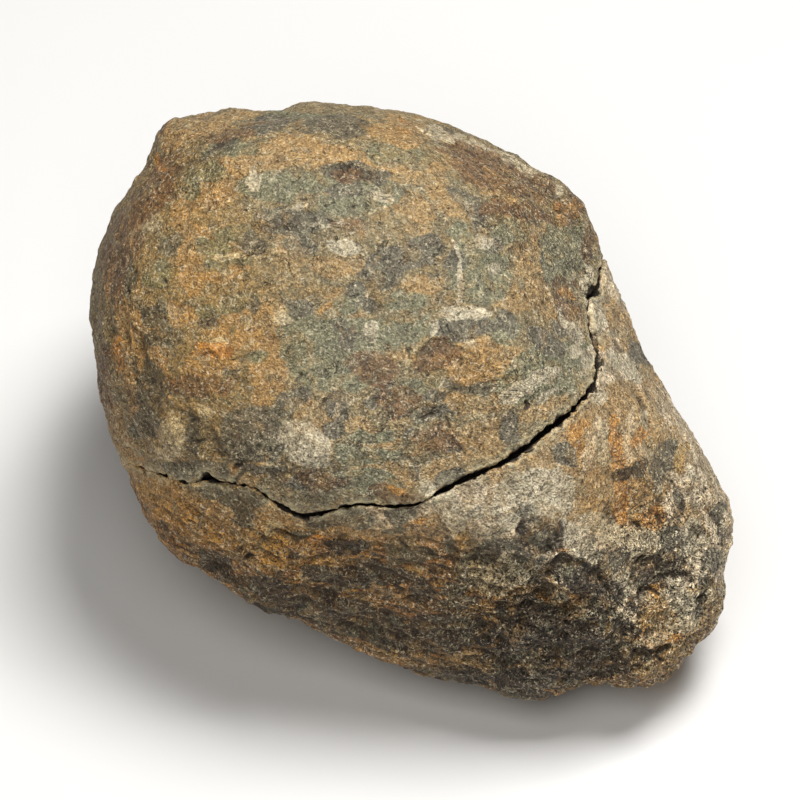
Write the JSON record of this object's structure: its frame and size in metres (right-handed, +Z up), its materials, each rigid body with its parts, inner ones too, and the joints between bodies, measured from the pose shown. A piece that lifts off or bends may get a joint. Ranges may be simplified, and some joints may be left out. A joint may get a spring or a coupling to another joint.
{
  "type": "split fossil nodule",
  "caption": "Egg-shaped weathered stone nodule, cracked open and closed again: a domed upper half on a longer lower half that ends in a blunt knobbly nose.",
  "frame": {"origin": "on the small flat spot that the stone rests on, right below the stone's middle", "axes": "+Z up as it rests, +X towards the nose, and its broad face leans back and looks towards -Y and up"},
  "size_m": [0.0618, 0.055, 0.0507],
  "materials": {
    "upper_stone": "rough, weathered tan and grey-green siltstone",
    "lower_stone": "rough, weathered brown and slate siltstone with rust"
  },
  "bodies": {
    "root": {"upper_half": "upper_stone", "lower_half": "lower_stone"}
  },
  "joints": []
}
